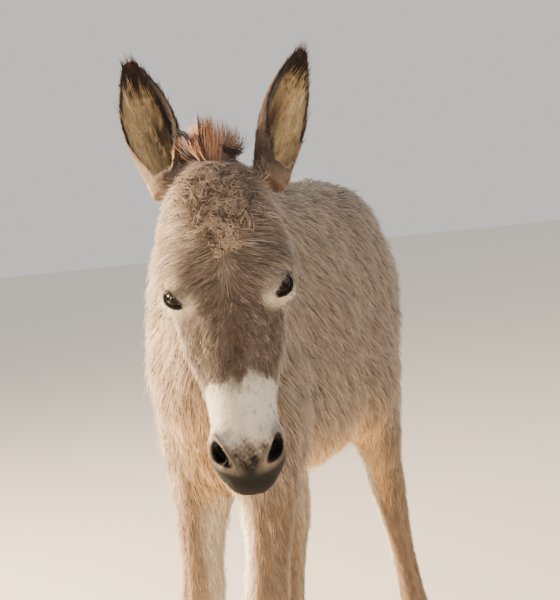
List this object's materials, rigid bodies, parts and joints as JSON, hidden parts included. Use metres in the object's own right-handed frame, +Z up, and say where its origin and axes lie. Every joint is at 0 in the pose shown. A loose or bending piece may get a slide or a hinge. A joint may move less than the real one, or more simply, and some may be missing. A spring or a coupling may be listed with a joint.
{
  "type": "donkey",
  "caption": "Young donkey with a fluffy grey-brown winter coat, pale muzzle and dark-rimmed ears, standing with its head turned to its left.",
  "frame": {"origin": "on the ground, under the centre of the whole animal's bounding box", "axes": "+Z up, -Y the way the animal's body faces, +X its own left side"},
  "size_m": [0.3836, 1.2062, 1.1332],
  "materials": {
    "coat": "fluffy grey-brown winter coat",
    "face": "darker grey-brown hair",
    "pale": "short near-white hair",
    "ear": "dark-rimmed ear with pale inner hair",
    "mane": "upright reddish-brown hair",
    "eye": "wet dark brown",
    "hoof": "dark grey horn"
  },
  "bodies": {
    "root": {"barrel": "coat", "chest": "coat", "forelock": "mane", "head": "face", "hindquarters": "coat", "left_ear": "ear", "left_eye": "eye", "left_fore_hoof": "hoof", "left_fore_lower_leg": "coat", "left_fore_upper_leg": "coat", "left_hind_hoof": "hoof", "left_hind_lower_leg": "coat", "left_hind_upper_leg": "coat", "lower_jaw": "face", "mane": "mane", "muzzle": "pale", "neck": "coat", "right_ear": "ear", "right_eye": "eye", "right_fore_hoof": "hoof", "right_fore_lower_leg": "coat", "right_fore_upper_leg": "coat", "right_hind_hoof": "hoof", "right_hind_lower_leg": "coat", "right_hind_upper_leg": "coat", "tail_dock": "coat", "tail_tuft": "mane"}
  },
  "joints": []
}
